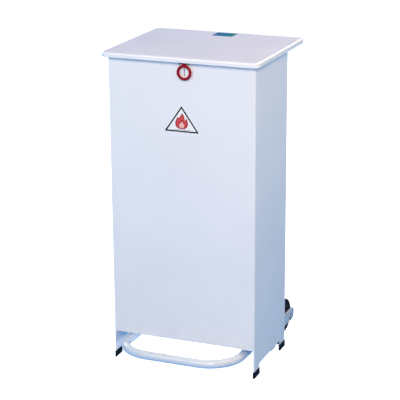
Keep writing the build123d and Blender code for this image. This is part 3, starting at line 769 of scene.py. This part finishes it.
# ---- hand ring ---------------------------------------------------------------------------
def hand_ring():
    """A moulded ring with a neck at its top, and the barrel it hangs by."""
    steps, around = 72, 20
    bm = bmesh.new()
    rings = []
    for i in range(steps):
        a = 2 * math.pi * i / steps
        centre = Vector((RING_MID_R * math.sin(a), 0, RING_MID_R * math.cos(a)))
        out = centre.normalized()
        ring = []
        for k in range(around):
            b = 2 * math.pi * k / around
            flat = 0.82 * RING_BAND_R * math.sin(b)
            ring.append(RING + centre + out * RING_BAND_R * math.cos(b) + Vector((0, flat, 0)))
        rings.append(ring)
    skin(bm, rings, closed_along=True)
    neck = []
    top, foot = RING_PIVOT_Z - 0.0008, RING.z + RING_MID_R - 0.0010
    for i in range(9):
        t = i / 8
        z = foot + (top - foot) * t
        half_x = 0.0062 - 0.0016 * math.sin(math.pi * t) + 0.0008 * (1 - t)
        half_y = 0.0021 + 0.0006 * t
        section = rounded_rectangle(half_x, -half_y, half_y, half_y * 0.8, 5)
        neck.append([(RING.x + x, RING.y + y, z) for x, y in section])
    closed_skin(bm, neck)
    piece = from_bmesh("hand_ring", bm)
    profile = [(-0.0084, 0.0016), (-0.0090, 0.0020), (-0.0090, 0.0027), (-0.0085, 0.0032)]
    profile += [(-x, r) for x, r in reversed(profile)]
    barrel = lathe_x("barrel", RING.x, profile, RING.y, RING_PIVOT_Z, 32)
    bm = bmesh.new()
    bm.from_mesh(piece.data)
    bm.from_mesh(barrel.data)
    bmesh.ops.recalc_face_normals(bm, faces=bm.faces)
    bm.to_mesh(piece.data)
    bm.free()
    bpy.data.objects.remove(barrel)
    finish_mesh(piece, 45)
    return place(piece, "ring", ring_red, ["pull_ring"])


# ---- stickers ----------------------------------------------------------------------------
def smooth_corners(points, radius, steps=5):
    """A closed flat outline with each corner rounded off."""
    out = []
    count = len(points)
    for i in range(count):
        before, corner, after = (Vector(points[(i + k) % count]) for k in (-1, 0, 1))
        a, b = (before - corner).normalized(), (after - corner).normalized()
        half = a.angle(b) / 2
        shorter = min((before - corner).length, (after - corner).length)
        reach = min(radius / math.tan(half), shorter / 2)
        p, q = corner + a * reach, corner + b * reach
        for k in range(steps + 1):
            t = k / steps
            out.append((1 - t) ** 2 * p + 2 * t * (1 - t) * corner + t * t * q)
    return out


def inset_triangle(half, height, inset):
    """An isosceles triangle drawn in from each side by the same distance."""
    slope = math.hypot(half, height)
    peak = height - inset * slope / half
    at_base = half - inset * (slope + half) / height
    return [(-at_base, inset), (at_base, inset), (0.0, peak)]


def flat_piece(name, outline, y_near, y_far, hole=None):
    """A thin plate parallel to the front panel, from (x, z) outlines."""
    bm = bmesh.new()
    edges = []
    for loop in filter(None, (outline, hole)):
        verts = [bm.verts.new((p[0], y_far, p[1])) for p in loop]
        edges += [bm.edges.new((a, b)) for a, b in zip(verts, verts[1:] + verts[:1])]
    made = bmesh.ops.triangle_fill(bm, use_beauty=True, use_dissolve=False, edges=edges)
    faces = [g for g in made["geom"] if isinstance(g, bmesh.types.BMFace)]
    grown = bmesh.ops.extrude_face_region(bm, geom=faces)
    for g in grown["geom"]:
        if isinstance(g, bmesh.types.BMVert):
            g.co.y = y_near
    return from_bmesh(name, bm)


def flame(scale, lean):
    """Outline of a simple flame with its base at the origin, one unit tall before scaling."""
    right = [(0.00, 0.00), (0.20, 0.02), (0.36, 0.14), (0.42, 0.32), (0.38, 0.52), (0.33, 0.70)]
    right += [(0.27, 0.60), (0.20, 0.54), (0.20, 0.70), (0.14, 0.84), (0.02, 1.00)]
    left = [(-0.04, 0.86), (-0.12, 0.74), (-0.20, 0.66), (-0.27, 0.76), (-0.33, 0.60)]
    left += [(-0.41, 0.42), (-0.40, 0.20), (-0.30, 0.08), (-0.14, 0.01)]
    return [((x + lean * z) * scale, z * scale) for x, z in right + left]


def on_label(points, lift=0.0):
    """Moves a drawing from the origin to its place on the front panel."""
    return [(LABEL_X + p[0], LABEL_BASE_Z + lift + p[1]) for p in points]


def front_sticker():
    """A white triangle with a black border, and a flame printed in layers over a grey bar."""
    face = BODY_FRONT_Y - LABEL_THICK
    ink = 0.00004
    whole = smooth_corners(inset_triangle(LABEL_HALF, LABEL_HEIGHT, 0.0), 0.0018)
    sticker = flat_piece("sticker", on_label(whole), face, BODY_FRONT_Y)
    place(sticker, "bin_body", sticker_white, ["front_label"])
    outer = smooth_corners(inset_triangle(LABEL_HALF, LABEL_HEIGHT, 0.0007), 0.0012)
    inner = smooth_corners(inset_triangle(LABEL_HALF, LABEL_HEIGHT, 0.0042), 0.0008)
    border = flat_piece("sticker_border", on_label(outer), face - ink, face, on_label(inner))
    place(border, "bin_body", ink_black)
    bar = [(-0.022, 0.0), (0.022, 0.0), (0.022, 0.0015), (-0.022, 0.0015)]
    layers = (
        ("ground", bar, 0.0055, ink_grey),
        ("flame", smooth_corners(flame(0.040, 0.0), 0.0012, 4), 0.0080, ink_dark_red),
        ("flame_body", smooth_corners(flame(0.033, 0.0), 0.0010, 4), 0.0100, ink_red),
        ("flame_shade", smooth_corners(flame(0.023, 0.04), 0.0008, 4), 0.0100, ink_dark_red),
        ("flame_core", smooth_corners(flame(0.017, 0.05), 0.0006, 4), 0.0108, ink_pink),
    )
    for level, (part, outline, lift, ink_colour) in enumerate(layers):
        near = face - ink * max(1, level)
        layer = flat_piece(f"sticker_{part}", on_label(outline, lift), near, near + ink)
        place(layer, "bin_body", ink_colour)


def top_sticker():
    """The plain coloured label at the lid's rear edge."""
    half_x, half_y = LID_LABEL_HALF
    outline = rounded_rectangle(half_x, LID_LABEL_Y - half_y, LID_LABEL_Y + half_y, 0.003, 6)
    bm = bmesh.new()
    levels = ((LID_TOP_Z, 0.0), (LID_TOP_Z + 0.00022, 0.0), (LID_TOP_Z + 0.0003, 0.00012))
    rings = []
    for z, inset in levels:
        shrink = 1 - inset / half_x
        rings.append([(x * shrink, LID_LABEL_Y + (y - LID_LABEL_Y) * shrink, z) for x, y in outline])
    closed_skin(bm, rings)
    piece = from_bmesh("top_sticker", bm)
    finish_mesh(piece, 30)
    return place(piece, "lid", teal, ["lid_label"])


# ---- welds -------------------------------------------------------------------------------
BEAD_R = 0.0011
BEAD_SINK = 0.0006        # how far a bead's centre line lies from the sheet's face
RIPPLE_PITCH = 0.0024
CRANK_PAD = (-0.012, 0.012, 0.1581, 0.1910)      # left, right, front and rear edges
RIGHT_LUG_PAD = (0.0875, 0.1075, 0.148, 0.198)
LEFT_LUG_PAD = (-0.1075, -0.0875, 0.148, 0.198)


def weld(name, body, material, lines):
    """Rippled beads laid along straight lines."""
    bm = bmesh.new()
    for start, end in lines:
        start, end = Vector(start), Vector(end)
        along = (end - start).normalized()
        side = along.orthogonal().normalized()
        other = along.cross(side)
        length = (end - start).length
        count = max(8, int(length / 0.0006))
        rings = []
        for i in range(count + 1):
            t = i / count
            round_off = min(1.0, 0.35 + 8 * min(t, 1 - t))
            r = BEAD_R * round_off * (1 + 0.16 * math.sin(2 * math.pi * length * t / RIPPLE_PITCH))
            centre = start + along * length * t
            ring = []
            for k in range(10):
                b = 2 * math.pi * k / 10
                ring.append(centre + side * r * math.cos(b) + other * r * math.sin(b))
            rings.append(ring)
        closed_skin(bm, rings)
    piece = from_bmesh(name, bm)
    finish_mesh(piece, 60)
    return place(piece, body, material)


def lid_welds():
    """Along both ends of the crank's pad and of each hinge lug's pad."""
    z = LID_TOP_Z - SHEET - BEAD_SINK
    lines = []
    for x0, x1, y0, y1 in (CRANK_PAD, RIGHT_LUG_PAD, LEFT_LUG_PAD):
        for y in (y0, y1):
            lines.append(((x0 + 0.002, y, z), (x1 - 0.002, y, z)))
    weld("lid_welds", "lid", lid_white, lines)


def stirrup_welds():
    """Down both edges of each pedal bracket, where it meets the side panel."""
    x = BODY_HALF_X - SHEET - BEAD_SINK
    lines = []
    for side in (-1, 1):
        for y in (PIVOT.y - 0.015, PIVOT.y + 0.015):
            lines.append(((side * x, y, 0.032), (side * x, y, 0.062)))
    weld("stirrup_welds", "bin_body", body_white, lines)


def pedal_welds():
    """Where the lever meets the cross bar."""
    y = 0.0943
    lines = [(tilted((x, y, 0.0395)), tilted((x, y, 0.0545))) for x in (-0.0024, 0.0024)]
    weld("lever_welds", "pedal", pedal_white, lines)


# ---- build -------------------------------------------------------------------------------
body_shell()
lid_pan()
pedal_loop()
for side in (-1, 1):
    foot_cap(side, True)
    foot_cap(side, False)
    tyre(side)
    hub(side)
hand_ring()
front_sticker()
top_sticker()
lid_welds()
stirrup_welds()
pedal_welds()


# ---- camera, lights and floor ------------------------------------------------------------
FOCAL_WIDTHS = 3.6442     # focal length in picture widths
YAW, PITCH, ROLL = (math.radians(a) for a in (22.363, 17.282, -0.390))
CAMERA_AT = Vector((1.3321, -3.2387, 1.4994))
SENSOR = 36.0             # millimetres
FLOOR_SIZE = 40.0
FLOOR_COLOUR = (0.80, 0.86, 0.94)
FLOOR_LIFT = 0.86         # extra brightness that only the camera sees
BOUNCE_COLOUR = (0.199, 0.542, 1.0)
BOUNCE_STRENGTH = 0.816   # the glow that the floor gives the object from below
FILL_COLOUR = (0.585, 0.711, 1.0)
FILL_STRENGTH = 0.205
PLAIN_WHITE = (1.0, 1.0, 1.0)

# name, place, what it faces, width and height, power, colour
LIGHTS = (
    ("key", (-0.9, -3.4, 2.3), (0, -0.1, 0.55), (1.8, 1.4), 47.0, (0.827, 1.0, 0.894)),
    ("front_right", (1.2, -2.6, 1.9), (0.0, -0.1, 0.6), (1.2, 1.0), 69.0, (1.0, 0.714, 0.515)),
    ("right_high", (1.5, 0.1, 1.9), (0.15, 0.0, 0.6), (0.9, 0.9), 17.2, (1.0, 0.837, 0.451)),
    ("overhead", (0.0, 0.2, 3.0), (0, 0, 0.8), (1.6, 1.6), 20.2, (0.247, 0.321, 1.0)),
    ("left", (-3.0, -0.5, 2.2), (0, 0, 0.5), (1.4, 1.6), 14.1, (0.532, 1.0, 0.972)),
    ("behind", (0.15, 3.3, 2.3), (0, 0.1, 0.45), (1.0, 1.0), 45.0, (1.0, 0.95, 0.90)),
    ("behind_left", (-2.7, 2.3, 1.8), (0, 0.1, 0.45), (1.4, 1.4), 42.0, (1.0, 0.95, 0.90)),
    ("under", (0.08, 0.0, 0.045), (-0.19, 0.05, 0.048), (0.12, 0.05), 0.32, (1.0, 0.88, 0.74)),
)


def make_camera():
    cam = bpy.data.objects.new("camera", bpy.data.cameras.new("camera"))
    bpy.context.scene.collection.objects.link(cam)
    forward = Vector(
        (-math.sin(YAW) * math.cos(PITCH), math.cos(YAW) * math.cos(PITCH), -math.sin(PITCH))
    )
    level = Vector((math.cos(YAW), math.sin(YAW), 0))
    up = level.cross(forward)
    right = level * math.cos(ROLL) + up * math.sin(ROLL)
    up = up * math.cos(ROLL) - level * math.sin(ROLL)
    turn = Matrix((right, up, -forward)).transposed()
    cam.matrix_world = Matrix.Translation(CAMERA_AT) @ turn.to_4x4()
    cam.data.sensor_width = SENSOR
    cam.data.lens = FOCAL_WIDTHS * SENSOR
    cam.data.clip_end = 60.0
    bpy.context.scene.camera = cam


def area_light(name, at, aim, size, power, colour):
    data = bpy.data.lights.new(name, "AREA")
    data.shape = "RECTANGLE"
    data.size, data.size_y = size
    data.energy = power
    data.color = colour
    lamp = bpy.data.objects.new(name, data)
    lamp.location = at
    direction = Vector(aim) - Vector(at)
    lamp.rotation_mode = "QUATERNION"
    lamp.rotation_quaternion = direction.to_track_quat("-Z", "Y")
    lamp.visible_camera = False
    bpy.context.scene.collection.objects.link(lamp)


def seen_by_camera(tree, plain, lit):
    """A shader that is one thing to the camera and another to the light."""
    path = tree.nodes.new("ShaderNodeLightPath")
    mix = tree.nodes.new("ShaderNodeMixShader")
    tree.links.new(path.outputs["Is Camera Ray"], mix.inputs["Fac"])
    tree.links.new(lit, mix.inputs[1])
    tree.links.new(plain, mix.inputs[2])
    return mix.outputs["Shader"]


def make_world():
    world = bpy.data.worlds.new("studio")
    bpy.context.scene.world = world
    world.use_nodes = True
    tree = world.node_tree
    fill = tree.nodes["Background"]
    fill.inputs["Color"].default_value = (*FILL_COLOUR, 1.0)
    fill.inputs["Strength"].default_value = FILL_STRENGTH
    backdrop = tree.nodes.new("ShaderNodeBackground")
    backdrop.inputs["Color"].default_value = (*PLAIN_WHITE, 1.0)
    backdrop.inputs["Strength"].default_value = 1.0
    out = seen_by_camera(tree, backdrop.outputs[0], fill.outputs[0])
    tree.links.new(out, tree.nodes["World Output"].inputs["Surface"])


def make_floor():
    bm = bmesh.new()
    steps = 12
    stops = [FLOOR_SIZE * (i / steps - 0.5) for i in range(steps + 1)]
    rows = [[(x, y, 0.0) for x in stops] for y in stops]
    skin(bm, rows, closed_around=False)
    floor = from_bmesh("floor", bm)
    material = bpy.data.materials.new("floor")
    material.use_nodes = True
    tree = material.node_tree
    shader = tree.nodes["Principled BSDF"]
    shader.inputs["Base Color"].default_value = (*FLOOR_COLOUR, 1.0)
    shader.inputs["Roughness"].default_value = 0.9
    lift = tree.nodes.new("ShaderNodeEmission")
    lift.inputs["Color"].default_value = (*PLAIN_WHITE, 1.0)
    lift.inputs["Strength"].default_value = FLOOR_LIFT
    bounce = tree.nodes.new("ShaderNodeEmission")
    bounce.inputs["Color"].default_value = (*BOUNCE_COLOUR, 1.0)
    bounce.inputs["Strength"].default_value = BOUNCE_STRENGTH
    both = tree.nodes.new("ShaderNodeAddShader")
    tree.links.new(shader.outputs[0], both.inputs[0])
    tree.links.new(lift.outputs[0], both.inputs[1])
    out = seen_by_camera(tree, both.outputs[0], bounce.outputs[0])
    tree.links.new(out, tree.nodes["Material Output"].inputs["Surface"])
    floor.data.materials.append(material)


make_camera()
make_world()
make_floor()
for light in LIGHTS:
    area_light(*light)
bpy.context.scene.view_settings.view_transform = "Standard"
